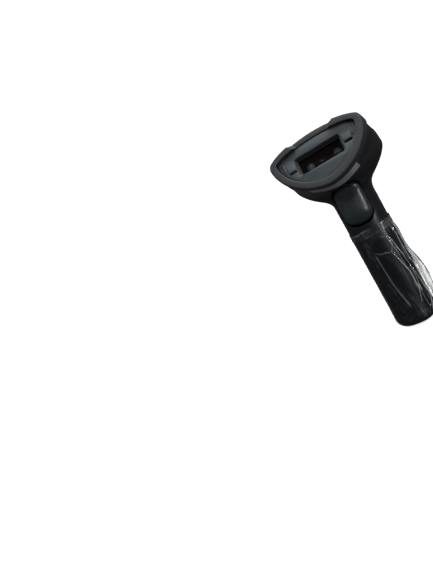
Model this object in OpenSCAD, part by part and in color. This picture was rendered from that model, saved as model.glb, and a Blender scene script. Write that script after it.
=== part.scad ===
// Cordless handheld barcode scanner: a pistol grip with a wide D-shaped scan head.
// Frame: +Z runs up the grip, the scan face looks along -Y, X runs across.
// The origin is the centre of the flat end that the grip stands on. Millimetres.

/* [Grip] */
// Width of the grip across X
grip_w = 32.2; // [29:0.1:36]
// Depth of the grip, front to back
grip_d = 40; // [37:0.5:44]
// Height at which the grip starts to spread into the head
grip_h = 108; // [104:1:114]
// Height of the end cap
cap_h = 10; // [9:0.5:12]
// Rounding of the end cap's lower edge
cap_round = 6; // [4:0.5:7]

/* [Head] */
// Height of the scan face's corners above the end of the grip
face_z = 158; // [154:1:166]
// Distance of the scan face's corners in front of the grip's axis
face_reach = 47; // [42:1:54]
// Tilt of the scan face, upwards from square to the grip
face_tilt = 16; // [10:1:20]
// Width of the shells at the scan face
face_w = 68.4; // [64:0.2:74]
// Depth of the face below its corners
face_drop = 28.8; // [27:0.2:32]
// Height of the face's arch above its corners
face_rise = 8.8; // [6:0.1:10]
// How much the head widens behind the face, on each side
head_swell = 2.8; // [1:0.1:4]

/* [Shells] */
// Wall of the two shells
wall = 2.2; // [1.8:0.1:2.6]
// Outer radius of a screw boss
boss_r = 2.6; // [2.3:0.1:2.9]

/* [Bumper] */
// Thickness of the rubber over the shells
bumper_t = 1.2; // [0.8:0.1:1.8]
// Depth of the rubber in front of the shells
bumper_front = 5.4; // [5.2:0.1:6]
// Width of the front band, from its outer edge to the face plate
band_w = 5.2; // [4.6:0.1:6]
// How far the bumper reaches back at the top corners
wrap_top = 12; // [9:0.5:14]
// How far the bumper reaches back below the face
wrap_bottom = 7; // [6.6:0.1:8]
// Half the gap between the two corner pads
pad_from = 18.5; // [15:0.5:22]
// Height of the corner pads above the arch
pad_h = 1; // [0.6:0.1:2]
// How far the arch between the pads is set back
notch_d = 2.8; // [1:0.1:3]

/* [Scan window] */
// Width of the clear window
window_w = 32.6; // [28:0.2:36]
// Height of the clear window
window_h = 9.2; // [8:0.2:11]
// Distance of the window's middle below the face's corners
window_drop = 8.8; // [8:0.2:11]
// Depth of the face plate behind the bumper's front
plate_depth = 4; // [3.4:0.1:5]
// Thickness of the face plate
plate_t = 2.2; // [1.8:0.1:2.6]

/* [Trigger] */
// Width of the trigger
trigger_w = 21.6; // [19:0.2:23]
// Height of the trigger's lower end
trigger_z0 = 90; // [88:0.5:92]
// Height of the trigger's upper end
trigger_z1 = 122; // [119:0.2:122.4]
// Gap between the trigger and its opening
trigger_gap = 0.5; // [0.3:0.05:0.8]
// Radius of the trigger's pin
pin_r = 1; // [0.8:0.05:1.3]
// Height of the pin
pin_z = 116; // [114.5:0.1:117]
// Height of the switch below the pin
switch_drop = 6; // [5:0.1:7]

/* [Battery] */
// Radius of the round cell
cell_r = 9.2; // [7:0.1:9.4]
// Length of the round cell
cell_len = 65; // [50:0.5:66]

/* [Film] */
// Height of the film's upper edge
film_z1 = 85; // [80:0.5:86]
// Thickness of the film sleeve
film_t = 0.3; // [0.2:0.05:0.5]

/* [Hidden] */

$fn = 40;
eps = 0.01;
seat = 0.1;            // gap between pieces that are seated on each other
slip = 0.06;           // radial clearance of the trigger on its pin
ring_n = 36;           // points round a section of the shells
fan_steps = 12;        // sections between the grip and the head
grip_power = 2.5;      // how square the grip's oval is; 2 is an ellipse
head_power = 1.85;
rim_power = 1.8;       // the face's lower side is a little pointed
chin_power = 1.6;
neck_bulge = 4;        // extra depth in front of the corner line, half way round the neck
head_straight = 30;    // length of the head whose sections are parallel to the face
head_sink = 5;         // how far the widest line drops over that length, which rounds the head's upper corners
neck_spread = 0.62;    // share of the neck over which it widens to the head

// ---- sections of the body -------------------------------------------------
// A section lies in a plane that holds the X axis. It is
// [y, z, angle, half width, depth on the inner side, depth on the outer side, and the
// two sides' powers]: y and z place the middle of its widest line, and angle turns its
// outer side up from +Y.
head_angle = 90 - face_tilt;
head_back = [cos(face_tilt), -sin(face_tilt)];
head_up = [cos(head_angle), sin(head_angle)];

function mix(a, b, t) = a + (b - a) * t;
function clamp01(t) = max(0, min(1, t));
function smooth(t) = let (c = clamp01(t)) c * c * (3 - 2 * c);
function bezier(p, t) =
  let (u = 1 - t) p[0] * u * u * u + p[1] * 3 * u * u * t + p[2] * 3 * u * t * t + p[3] * t * t * t;

// A point of the head's own frame: across, behind the face's front plane, above the corners.
function head_yz(s, v) = [-face_reach, face_z] + head_back * s + head_up * v;
function head_xyz(x, s, v) = let (p = head_yz(s, v)) [x, p[0], p[1]];

function head_section(s) =
  let (t = clamp01(s / head_straight), sink = head_sink * smooth(t), c = head_yz(s, -sink))
  [c[0], c[1], head_angle, face_w / 2 + head_swell * t, face_drop + 1.2 * t - sink, face_rise + 1.2 * t + sink,
   mix(rim_power, chin_power, t), head_power];
function grip_section(z) =
  [0, z, 0, grip_w / 2, grip_d / 2, grip_d / 2, grip_power, grip_power];

neck_from = grip_section(grip_h);
neck_to = head_section(head_straight);
neck_path = [
  [neck_from[0], neck_from[1]],
  [neck_from[0] + 8, neck_from[1] + 21],
  [neck_to[0], neck_to[1]] + head_back * 18,
  [neck_to[0], neck_to[1]]
];
function neck_section(t) =
  let (c = bezier(neck_path, t))
  [c[0], c[1], head_angle * t,
   mix(neck_from[3], neck_to[3], smooth(t / neck_spread)),
   mix(neck_from[4], neck_to[4], t) + neck_bulge * sin(180 * t),
   mix(neck_from[5], neck_to[5], smooth((t - 0.25) / 0.6)),
   mix(grip_power, chin_power, smooth((t - 0.12) / 0.5)), mix(grip_power, head_power, smooth(t * 2))];

function body_sections(z0, s_end) = concat(
  [for (z = [z0, mix(z0, grip_h, 0.5)]) grip_section(z)],
  [for (i = [0:fan_steps]) neck_section(i / fan_steps)],
  [for (i = [1:6]) head_section(mix(head_straight, s_end, i / 6))]
);

function power_of(x, p) = sign(x) * pow(abs(x), 2 / p);
// Point k of ring_n round a section, moved out by g.
function on_section(S, g, k) = on_angle(S, g, 360 * k / ring_n);
function on_angle(S, g, th) =
  let (inner = sin(th) < 0, p = inner ? S[6] : S[7],
       x = (S[3] + g) * power_of(cos(th), p),
       v = ((inner ? S[4] : S[5]) + g) * power_of(sin(th), p))
  [x, S[0] + v * cos(S[2]), S[1] + v * sin(S[2])];

// ---- sweeping sections ----------------------------------------------------
function side_quads(rings, m, flip) = [
  for (i = [0:rings - 2], k = [0:m - 1])
    let (a = i * m + k, b = i * m + (k + 1) % m, c = b + m, d = a + m)
    each flip ? [[a, c, d], [a, b, c]] : [[a, d, c], [a, c, b]]
];

// A closed solid through the sections.
module swept_solid(sections, g = 0) {
  m = ring_n;
  last = (len(sections) - 1) * m;
  polyhedron(
    points = [for (S = sections, k = [0:m - 1]) on_section(S, g, k)],
    faces = concat(
      side_quads(len(sections), m, false),
      [for (k = [1:m - 2]) [0, k, k + 1]],
      [for (k = [1:m - 2]) [last, last + k + 1, last + k]]),
    convexity = 6);
}

// A solid between two closed loops of points for each section: the outer loop is moved
// out by g_out, and the inner one comes from its own list of sections.
module swept_tube(outer, inner, g_out, g_in, from = 0, to = ring_n) {
  closed = to - from == ring_n;
  m = closed ? ring_n : to - from + 1;
  loop = 2 * m;
  n = len(outer);
  points = [for (i = [0:n - 1]) each concat(
    [for (j = [0:m - 1]) on_section(outer[i], g_out, from + j)],
    [for (j = [0:m - 1]) on_section(inner[i], g_in, from + j)])];
  steps = closed ? m : m - 1;
  function o(i, j) = i * loop + j % m;
  function q(i, j) = i * loop + m + j % m;
  outside = [for (i = [0:n - 2], j = [0:steps - 1])
    each [[o(i, j), o(i + 1, j), o(i + 1, j + 1)], [o(i, j), o(i + 1, j + 1), o(i, j + 1)]]];
  inside = [for (i = [0:n - 2], j = [0:steps - 1])
    each [[q(i, j), q(i + 1, j + 1), q(i + 1, j)], [q(i, j), q(i, j + 1), q(i + 1, j + 1)]]];
  e = n - 1;
  ends = [for (j = [0:steps - 1])
    each [[o(0, j), o(0, j + 1), q(0, j + 1)], [o(0, j), q(0, j + 1), q(0, j)],
          [o(e, j), q(e, j + 1), o(e, j + 1)], [o(e, j), q(e, j), q(e, j + 1)]]];
  seams = closed ? [] : [for (i = [0:n - 2])
    each [[o(i, 0), q(i, 0), q(i + 1, 0)], [o(i, 0), q(i + 1, 0), o(i + 1, 0)],
          [o(i, m - 1), q(i + 1, m - 1), q(i, m - 1)],
          [o(i, m - 1), o(i + 1, m - 1), q(i + 1, m - 1)]]];
  polyhedron(points = points, faces = concat(outside, inside, ends, seams), convexity = 8);
}

// A round wire through the points of a path.
module wire(path, r, sides = 8) {
  n = len(path);
  function dir(i) = let (a = path[max(0, i - 1)], b = path[min(n - 1, i + 1)]) (b - a) / norm(b - a);
  function off(i, k) =
    let (d = dir(i), s = abs(d[0]) > 0.9 ? [0, 1, 0] : [1, 0, 0],
         u = cross(d, s) / norm(cross(d, s)), w = cross(d, u), th = 360 * k / sides)
    path[i] + r * (cos(th) * u + sin(th) * w);
  last = (n - 1) * sides;
  polyhedron(
    points = [for (i = [0:n - 1], k = [0:sides - 1]) off(i, k)],
    faces = concat(
      side_quads(n, sides, false),
      [for (k = [1:sides - 2]) [0, k, k + 1]],
      [for (k = [1:sides - 2]) [last, last + k + 1, last + k]]),
    convexity = 6);
}

// ---- small shared shapes --------------------------------------------------
// Places children in the head's frame: X across, local Y up the face, local Z out of the face.
module in_head(s, v = 0, x = 0) {
  translate(head_xyz(x, s, v)) rotate([90 - face_tilt, 0, 0]) children();
}
module rounded_rect(w, h, r) {
  translate([-w / 2 + r, -h / 2 + r]) square([w - 2 * r, h - 2 * r]);
  for (sx = [-1, 1], sy = [-1, 1]) translate([sx * (w / 2 - r), sy * (h / 2 - r)]) circle(r);
  square([w, h - 2 * r], center = true);
  square([w - 2 * r, h], center = true);
}
// A cylinder along +Y from y0 to y1.
module rod_y(r, y0, y1, x = 0, z = 0) {
  translate([x, y0, z]) rotate([-90, 0, 0]) cylinder(r = r, h = y1 - y0);
}
// A self-tapping screw along -Y: the underside of its pan head is at y.
module screw_y(x, y, z, length, r = 1.1, head_r = 2.1, head_h = 1.5) {
  difference() {
    union() {
      rod_y(r, y - length, y, x, z);
      rod_y(head_r, y, y + head_h, x, z);
    }
    for (a = [0, 90]) translate([x, y + head_h, z]) rotate([0, a, 0])
      cube([2.6, 1.4, 0.6], center = true);
  }
}

// ---- shared places --------------------------------------------------------
cell_z0 = cap_h + 9;                    // lower end of the cell
cell_z1 = cell_z0 + cell_len;
screw_x = grip_w / 2 - wall - boss_r - 0.5;
case_screw_z = [cap_h + 4.4, cell_z1 + 4];
screw_seat_y = 7;                       // seat of the case screws' heads
lug_t = 1.6;                            // thickness of the end cap's screw lugs
board_z0 = case_screw_z[1] + boss_r + 2.4;
board_z1 = 134;
board_w = 24;
board_y = 1;                            // front face of the main board
board_t = 1.6;
board_screw_z = [board_z0 + 2.8, board_z1 - 4];
pin_y = -13;
switch_z = pin_z - switch_drop;
switch_h = 3.5;
plunger_r = 1.7;
plunger_out = 1.8;                      // how far the plunger stands out of the switch
plunger_tip_y = board_y - switch_h - plunger_out;
spring_z = trigger_z0 + 11;
spring_r = 2.6;
ear_x = 9.15;                            // inner face of the ears that hold the pin
ear_t = 1.8;
ear_r = 2.6;
tongue_w = 6;                           // width of the bracket's screwed tongue
bracket_t = 1.8;
trigger_drop = 0.7;                     // extra room below the trigger for its swing
press_gap = 0.3;                        // free play between the trigger and the switch
harness_x = 5;                          // middle of the USB harness where it passes the cell
harness_y = 12.8;
harness_r = 1;
lug_x = 6.6;                            // inner face of the trigger's own lugs
lug_w = 2.2;
usb_y = 8;                              // middle of the socket
usb_w = 8.9;
usb_h = 3.3;
usb_len = 7.4;
window_v = -window_drop;
opening_w = window_w + 2.6;             // opening in the face plate
opening_h = window_h + 4.2;
opening_v = window_v + 1.3;
plate_back = plate_depth + plate_t;
glass_s = plate_back + 0.9;             // front of the window
glass_t = 1.5;
engine_s = glass_s + glass_t + 0.2;     // front of the scan engine
engine_len = 22;
engine_w = 34;
engine_h = 15.4;
engine_v = window_v;
post_x = engine_w / 2 + 4.2;
post_v = window_v - 4.6;
ear_s = plate_back + 6.2;               // front of the engine's ears
face_inner = [face_w / 2 + bumper_t - band_w, face_drop + bumper_t - band_w,
              face_rise + bumper_t - band_w + 1.2];

// Section of the face plate's visible outline, at depth s.
function plate_section(s) =
  let (c = head_yz(s, 0)) [c[0], c[1], head_angle, face_inner[0], face_inner[1], face_inner[2], rim_power, head_power];

// ---- shells ---------------------------------------------------------------
shell_sections = body_sections(cap_h, bumper_front);

module half_shell(from, to) {
  swept_tube(shell_sections, shell_sections, 0, -wall, from, to);
}

// The grip's bore between two heights, for ribs and posts that must end on the wall.
module grip_core(z0, z1, g) {
  swept_solid([grip_section(z0), grip_section(z1)], g);
}

// Everything inside the body's outer surface, less a skin.
module body_core(skin) {
  swept_solid(body_sections(cap_h, bumper_front + eps), -skin);
}

// A rib across the grip with a seat for the cell, on the front (-1) or rear (1) side.
module cell_rib(z, side) {
  gap = 0.4;
  difference() {
    intersection() {
      grip_core(z, z + 1.4, -wall + 0.3);
      translate([-20, side > 0 ? 9 : -29, z - 1]) cube([40, 20, 4]);
    }
    translate([0, 0, z - 1]) cylinder(r = cell_r + gap, h = 4);
    // room for the USB harness
    if (side > 0) translate([harness_x - harness_r - 0.5, 5, z - 1])
      cube([2 * harness_r + 1, harness_y + harness_r + 0.5 - 5, 4]);
  }
}

module trigger_outline(grow, drop = 0) {
  w = trigger_w / 2 + grow;
  low_r = 8.6;
  top_r = 5;
  hull() {
    for (sx = [-1, 1]) {
      translate([sx * (w - low_r), trigger_z0 - grow - drop + low_r]) circle(low_r, $fn = 32);
      translate([sx * (w - top_r), trigger_z1 + grow - top_r]) circle(top_r, $fn = 32);
    }
  }
}

// A column along Y whose foot spreads onto the wall behind it.
module column_y(r, foot_r, y_foot, y_top, x, z) {
  hull() {
    rod_y(foot_r, min(y_foot, y_foot + sign(y_top - y_foot) * 1.5),
          max(y_foot, y_foot + sign(y_top - y_foot) * 1.5), x, z, $fn = 24);
    rod_y(r, min(y_foot, y_top), max(y_foot, y_top), x, z, $fn = 24);
  }
}

module front_shell() color("#202224") difference() {
  union() {
    half_shell(ring_n / 2, ring_n);
    intersection() {
      body_core(wall / 2);
      union() {
        for (sx = [-1, 1]) {
          column_y(boss_r, boss_r + 0.3, -grip_d / 2, -seat / 2, sx * screw_x, case_screw_z[1]);
          column_y(boss_r, boss_r + 0.3, -grip_d / 2, -lug_t / 2 - seat, sx * screw_x, case_screw_z[0]);
        }
        for (t = [0.15, 0.5, 0.85]) cell_rib(mix(cell_z0, cell_z1, t), -1);
      }
    }
  }
  // trigger opening
  translate([0, -40 + grip_d / 2, 0]) rotate([90, 0, 0]) translate([0, 0, -16])
    linear_extrude(32) trigger_outline(trigger_gap, trigger_drop);
  for (sx = [-1, 1], z = case_screw_z) rod_y(1.15, -9, 5, sx * screw_x, z);
}

module rear_shell() color("#202224") difference() {
  union() {
    half_shell(0, ring_n / 2);
    intersection() {
      body_core(wall / 2);
      union() {
        for (sx = [-1, 1]) {
          column_y(boss_r + 0.9, boss_r + 1.2, grip_d / 2, screw_seat_y - 1.6, sx * screw_x, case_screw_z[1]);
          column_y(boss_r + 0.9, boss_r + 1.2, grip_d / 2, screw_seat_y - 1.6, sx * screw_x, case_screw_z[0]);
          column_y(boss_r, boss_r, grip_d / 2, seat / 2, sx * screw_x, case_screw_z[1]);
          column_y(boss_r, boss_r, grip_d / 2, lug_t / 2 + seat, sx * screw_x, case_screw_z[0]);
        }
        for (z = board_screw_z) column_y(2.2, 3, grip_d / 2 + 6, board_y + board_t + seat, 0, z);
        for (t = [0.15, 0.5, 0.85]) cell_rib(mix(cell_z0, cell_z1, t), 1);
      }
    }
  }
  // counterbored case screws
  for (sx = [-1, 1], z = case_screw_z) {
    rod_y(1.3, -5, grip_d, sx * screw_x, z);
    rod_y(2.35, screw_seat_y, grip_d, sx * screw_x, z);
  }
  for (z = board_screw_z) rod_y(0.95, board_y - 2, board_y + board_t + 7, 0, z);
  // opening for the status lens
  translate([0, status_y, board_z1]) cylinder(r = status_r + 0.15, h = 40);
}

// ---- bumper ---------------------------------------------------------------
// Section of the shells' front end carried on to depth s, so that the bumper follows it.
function rim_section(s) = head_section(s);

pad_th = acos(pad_from / (face_w / 2 + bumper_t));
rim_keys = [0, pad_th, pad_th + 1.5, pad_th + 6, 174 - pad_th, 178.5 - pad_th, 180 - pad_th, 180, 360];
rim_steps = [12, 1, 1, 12, 1, 1, 12, 36];
rim_angles = [for (i = [0:7], j = [0:rim_steps[i] - 1]) mix(rim_keys[i], rim_keys[i + 1], j / rim_steps[i])];
function from_side(th) = th > 90 ? 180 - th : th;
// 1 on a corner pad, fading out into the corner
function pad_at(th) = th > 180 ? 0 : let (a = from_side(th))
  a > pad_th ? clamp01(1 - (a - pad_th) / 1.5) : smooth((a - 6) / 16);
// 1 where the arch between the pads is set back
function notch_at(th) = th > 180 ? 0 : clamp01((from_side(th) - pad_th - 1.5) / 4.5);
function rim_back(th) =
  let (v = (sin(th) < 0 ? face_drop : face_rise) * sin(th))
  mix(wrap_bottom, wrap_top, (v + face_drop) / (face_drop + face_rise));
function rim_profile(th) =
  let (g = bumper_t + pad_h * pad_at(th), f = notch_d * notch_at(th), back = rim_back(th))
  [on_angle(rim_section(back), g, th),
   on_angle(rim_section(f + 1.2), g, th),
   on_angle(rim_section(f + 0.3), g - 0.4, th),
   on_angle(rim_section(f), g - 1.4, th),
   on_angle(plate_section(f), 0.4, th),
   on_angle(plate_section(f + 0.4), 0, th),
   on_angle(plate_section(plate_depth - seat), 0, th),
   on_angle(rim_section(plate_depth - seat), -wall, th),
   on_angle(rim_section(bumper_front - seat), -wall, th),
   on_angle(rim_section(bumper_front - seat), seat, th),
   on_angle(rim_section(back), seat, th)];

module bumper() color("#2b2d2e") {
  rings = [for (th = rim_angles) rim_profile(th)];
  n = len(rings);
  m = len(rings[0]);
  polyhedron(
    points = [for (r = rings) each r],
    faces = [for (i = [0:n - 1], j = [0:m - 1])
      let (a = i * m + j, b = ((i + 1) % n) * m + j, c = ((i + 1) % n) * m + (j + 1) % m, d = i * m + (j + 1) % m)
      each [[a, c, b], [a, d, c]]],
    convexity = 8);
}

// ---- face plate and window ------------------------------------------------
module face_plate() color("#46494a") difference() {
  union() {
    difference() {
      swept_solid([rim_section(plate_back), rim_section(plate_depth)], -wall - seat);
      in_head(plate_back + 1, opening_v) linear_extrude(plate_t + 4) rounded_rect(opening_w, opening_h, 2);
      // slits under the tongues
      for (sx = [-1, 1]) in_head(plate_back + 1, window_v - 0.6, sx * 21.4)
        linear_extrude(plate_t + 4) rounded_rect(6, 1.1, 0.4);
    }
    // raised tongues beside the window
    for (sx = [-1, 1]) hull() {
      in_head(plate_depth + eps, window_v + 2.6, sx * 21.4) linear_extrude(0.1) rounded_rect(5.8, 4.6, 0.6);
      in_head(plate_depth - 0.7, window_v + 2.4, sx * 21.4) linear_extrude(0.1) rounded_rect(5, 3.8, 0.6);
    }
    // posts for the scan engine
    for (sx = [-1, 1]) hull() {
      in_head(ear_s - seat, post_v, sx * post_x) cylinder(r = 2.3, h = 0.1);
      in_head(plate_back + eps, post_v, sx * post_x) cylinder(r = 2.6, h = 0.1);
    }
  }
  for (sx = [-1, 1]) in_head(ear_s, post_v, sx * post_x) cylinder(r = 0.95, h = 6);
}

// Rectangle of the window frame's step i, at the face's own coordinates.
module frame_step(i) {
  top = [0.7, 1.8, 3.0][i];
  side = [0.5, 0.9, 1.3][i];
  h = opening_h - top - [0.3, 0.5, 0.8][i];
  translate([0, -(top - [0.3, 0.5, 0.8][i]) / 2]) rounded_rect(opening_w - 2 * side, h, 1.2);
}
step_s = [plate_back - 1.1, plate_back - 0.4, plate_back + 2];
module window_frame() color("#191a1b") difference() {
  in_head(plate_back + 0.8, opening_v) linear_extrude(plate_t + 0.4)
    rounded_rect(opening_w - 2 * seat, opening_h - 2 * seat, 2 - seat);
  for (i = [0:2]) in_head(step_s[i], opening_v) linear_extrude(6) frame_step(i);
}
module scan_window() color("#24090a") in_head(glass_s + glass_t, window_v)
  linear_extrude(glass_t) rounded_rect(window_w + 2.4, window_h + 2.4, 1);

// ---- label under the face -------------------------------------------------
label_s = [wrap_bottom + 1.2, 20];
label_t = 0.25;
label_w = 38;
module chin_label() color("#9aa0a8") {
  half = 5;
  k0 = 3 * ring_n / 4 - half;
  k1 = 3 * ring_n / 4 + half;
  sections = [for (i = [0:2]) head_section(mix(label_s[1], label_s[0], i / 2))];
  intersection() {
    swept_tube(sections, sections, seat / 2 + label_t, seat / 2, k0, k1);
    translate([-label_w / 2, -100, 80]) cube([label_w, 100, 80]);
  }
}

// ---- end cap --------------------------------------------------------------
cap_floor = 2;
cell_post_y = -2;
pad_t = 1.6;
usb_board_y = usb_y + usb_h / 2;
cap_steps = 6;
module butt_cap() color("#1b1c1e") difference() {
  union() {
    difference() {
      swept_solid([for (i = [0:cap_steps])
        let (a = 90 * i / cap_steps, S = grip_section(cap_round * (1 - cos(a))), g = cap_round * (1 - sin(a)))
        [S[0], S[1], 0, S[3] - g, S[4] - g, S[5] - g, grip_power, grip_power]], 0);
      translate([0, 0, cap_floor]) linear_extrude(20) rounded_rect(grip_w - 11, grip_d - 12, 5);
    }
    difference() {
      swept_solid([grip_section(cap_round - eps), grip_section(cap_h - seat / 2)], 0);
      grip_core(cap_floor, cap_h + 1, -wall - 0.6);
    }
    // spigot inside the shells
    difference() {
      grip_core(cap_round, cap_h + 2, -wall - 0.15);
      grip_core(cap_floor, cap_h + 3, -wall - 1.35);
    }
    // lugs that the lower case screws pass through
    for (sx = [-1, 1]) {
      rod_y(boss_r, -lug_t / 2, lug_t / 2, sx * screw_x, case_screw_z[0]);
      translate([sx * screw_x - boss_r, -lug_t / 2, cap_round]) cube([2 * boss_r, lug_t, case_screw_z[0] - cap_round]);
      // stops behind the USB board
      translate([sx * 6 - 1, usb_board_y + 1.3, cap_floor - 1]) cube([2, 2, 9]);
    }
    // post under the cell
    translate([0, cell_post_y, cap_floor - 1]) difference() {
      cylinder(r = 4, h = cell_z0 - pad_t - 2 * seat - cap_floor + 1);
      translate([0, 0, 1]) cylinder(r = 2.6, h = 30);
    }
  }
  for (sx = [-1, 1]) {
    rod_y(1.3, -5, 5, sx * screw_x, case_screw_z[0]);
    // room for the shells' bosses
    rod_y(boss_r + 1.5, lug_t / 2, 30, sx * screw_x, case_screw_z[0]);
    rod_y(boss_r + 0.6, -30, -lug_t / 2, sx * screw_x, case_screw_z[0]);
  }
  translate([0, usb_y, -1]) linear_extrude(6) rounded_rect(usb_w + 0.5, usb_h + 0.5, usb_h / 2);
}

// ---- trigger --------------------------------------------------------------
trigger_back_y = pin_y - ear_r - 0.6;
module trigger() color("#2a2d2f") difference() {
  union() {
    intersection() {
      translate([0, -13, 0]) rotate([90, 0, 0]) linear_extrude(20) trigger_outline(0);
      hull() {
        translate([0, -17.4, trigger_z0 + 8.6]) scale([1.22, 0.74, 0.98]) sphere(9, $fn = 32);
        translate([0, -17.4, trigger_z1 - 12]) scale([1.2, 0.7, 1]) sphere(9, $fn = 32);
        translate([0, -25.4, trigger_z1 - 1.6]) scale([1.2, 0.62, 0.5]) sphere(9, $fn = 32);
      }
      translate([-20, -40, 80]) cube([40, 40 + trigger_back_y, 50]);
    }
    for (sx = [-1, 1]) hull() {
      translate([sx * (lug_x + lug_w / 2), -18, pin_z]) cube([lug_w, 3, 4.6], center = true);
      translate([sx * (lug_x + lug_w / 2), pin_y, pin_z]) rotate([0, 90, 0])
        cylinder(r = 2.3, h = lug_w, center = true);
    }
    rod_y(1.8, -18, plunger_tip_y - press_gap, 0, switch_z);
  }
  translate([-20, pin_y, pin_z]) rotate([0, 90, 0]) cylinder(r = pin_r + slip, h = 40);
  rod_y(spring_r + 0.7, -18, -10, 0, spring_z);
}
// U-shaped bracket on the main board: two bored ears, and a tongue under the board's upper screw.
module pin_bracket() color("#3b3e42") difference() {
  union() {
    for (sx = [-1, 1]) {
      translate([sx * (ear_x + ear_t / 2) - ear_t / 2, pin_y, pin_z - ear_r]) cube([ear_t, board_y - pin_y - eps, 2 * ear_r]);
      translate([sx * (ear_x + ear_t / 2) - ear_t / 2, pin_y, pin_z]) rotate([0, 90, 0]) cylinder(r = ear_r, h = ear_t);
    }
    translate([-ear_x - ear_t, board_y - eps - bracket_t, pin_z - ear_r])
      cube([2 * (ear_x + ear_t), bracket_t, 2 * ear_r]);
    translate([-tongue_w / 2, board_y - eps - bracket_t, pin_z]) cube([tongue_w, bracket_t, board_screw_z[1] + 2 - pin_z]);
  }
  translate([-20, pin_y, pin_z]) rotate([0, 90, 0]) cylinder(r = pin_r + 0.01, h = 40);
  rod_y(1.15, -5, 10, 0, board_screw_z[1]);
}
module trigger_pin() color("#c8ccd0") translate([-ear_x - ear_t, pin_y, pin_z]) rotate([0, 90, 0])
  cylinder(r = pin_r, h = 2 * (ear_x + ear_t));

spring_y = [-18 + seat, board_y - seat];
module trigger_spring() color("#b9bec2") {
  turns = 7;
  per_turn = 12;
  steps = turns * per_turn;
  wire_r = 0.3;
  span = spring_y[1] - spring_y[0] - 2 * wire_r;
  wire([for (i = [0:steps])
    let (a = 360 * i / per_turn)
    [spring_r * cos(a), spring_y[0] + wire_r + span * i / steps, spring_z + spring_r * sin(a)]],
    wire_r, 6);
}

// ---- trigger switch -------------------------------------------------------
module switch_body() color("#1a1a1c") difference() {
  translate([-3, board_y - switch_h, switch_z - 3]) cube([6, switch_h - eps, 6]);
  rod_y(plunger_r + slip, board_y - switch_h - 1, board_y - 1, 0, switch_z);
}
module switch_plunger() color("#b8322a") rod_y(plunger_r, plunger_tip_y, board_y - 1.5, 0, switch_z);

// ---- main board -----------------------------------------------------------
module main_board() color("#1d5c38") difference() {
  translate([-board_w / 2, board_y, board_z0]) cube([board_w, board_t, board_z1 - board_z0]);
  for (z = board_screw_z) rod_y(1.15, -5, 10, 0, z);
}
chip_back = board_y + board_t;
ribbon_x = 3.5;
ribbon_w = 8;
module board_chips() color("#151618") {
  for (c = [[-7, 106, 7, 7, 1.2], [6.5, 108, 6, 5, 1], [-8.6, 121, 5, 5, 1], [7.5, 122, 4, 6, 1.6], [9, 96, 4, 3, 1.4]])
    translate([c[0] - c[2] / 2, chip_back, c[1] - c[3] / 2]) cube([c[2], c[4], c[3]]);
  for (i = [0:3]) translate([4 + 1.9 * i, board_y - 0.6, 124]) cube([1, 0.6, 2]);
}
module radio_module() color("#b4b8bb") translate([-11.4, board_y - 1.9, 121]) cube([7.4, 1.9, 9]);
module buzzer() color("#17181a") difference() {
  rod_y(4.8, chip_back, chip_back + 4.4, 0, 118);
  rod_y(1, chip_back + 3, chip_back + 6, 0, 118);
}
module board_connectors() color("#e6e1d2") {
  translate([-10, board_y - 4.2, board_z0 + 1]) cube([6.4, 4.2, 5]);      // cell
  translate([2.6, chip_back, board_z0 + 7]) cube([6.6, 3.6, 4.6]);        // USB harness
  translate([ribbon_x - 0.2, board_y - 1.6, board_z1 - 4.4]) cube([ribbon_w + 0.4, 1.6, 4.2]); // scan engine
}
module board_screws() color("#a9adb2") for (i = [0, 1])
  mirror([0, 1, 0]) screw_y(0, -board_y + i * (bracket_t + seat), board_screw_z[i], 7, 0.9, 1.8, 1.2);
module status_led() color("#f3efe2") translate([-1.6, board_y - 1.2, board_z1 - 1.9]) cube([3.2, 1.2, 1.6]);

// ---- status lens ----------------------------------------------------------
status_y = board_y - 0.6;
status_r = 2.6;
module status_lens() color("#d8dde0") {
  intersection() {
    translate([0, status_y, board_z1 + 6]) cylinder(r = status_r, h = 40);
    swept_solid([for (i = [4:fan_steps]) neck_section(i / fan_steps)], 0.3);
  }
  translate([0, status_y, board_z1 + 0.3]) cylinder(r = 1.6, h = 6.2);
}

// ---- scan engine ----------------------------------------------------------
engine_back = engine_s + engine_len;
lens_x = -2.5;
led_x = [-10.6, 10.6];
module engine_chassis() color("#101112") difference() {
  union() {
    in_head(engine_back, engine_v) linear_extrude(engine_len) square([engine_w, engine_h], center = true);
    for (sx = [-1, 1]) in_head(ear_s + 2, post_v, sx * post_x) linear_extrude(2)
      translate([-sx * 1.2, 0]) square([7.4, 5.4], center = true);
  }
  in_head(engine_back - 14, engine_v) linear_extrude(40) square([engine_w - 3, engine_h - 3], center = true);
  in_head(engine_back - 1, engine_v, lens_x) cylinder(r = 4 + seat, h = 20);
  in_head(engine_back + 1, engine_v, lens_x) translate([-13, -2.4, 0]) cube([26, 4.8, 6]);
  for (x = led_x) in_head(engine_back - 11.4, engine_v, x) cylinder(r = 1.6, h = 10);
  for (sx = [-1, 1]) in_head(ear_s + 5, post_v, sx * post_x) cylinder(r = 1.15, h = 10);
}
module lens_barrel() color("#0c0c0d") difference() {
  in_head(engine_back - 6, engine_v, lens_x) cylinder(r = 4, h = 12);
  in_head(engine_back - 5, engine_v, lens_x) cylinder(r = 2.9, h = 20);
}
module lens_glass() color("#4a3550") in_head(engine_s + 7.2, engine_v, lens_x) intersection() {
  cylinder(r = 2.9 - 0.05, h = 2.4);
  translate([0, 0, -3.2]) sphere(5.2);
}
module aimer_leds() color("#e8e4da") for (x = led_x)
  in_head(engine_back - 14 - eps, engine_v, x) linear_extrude(1.2) square([3.4, 3.4], center = true);
module led_lenses() color("#d5d2cc") for (x = led_x)
  in_head(engine_back - 15.3, engine_v, x) {
    cylinder(r = 3, h = 1.4);
    intersection() {
      cylinder(r = 2.6, h = 5);
      translate([0, 0, -0.4]) sphere(3.6);
    }
  }
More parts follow.
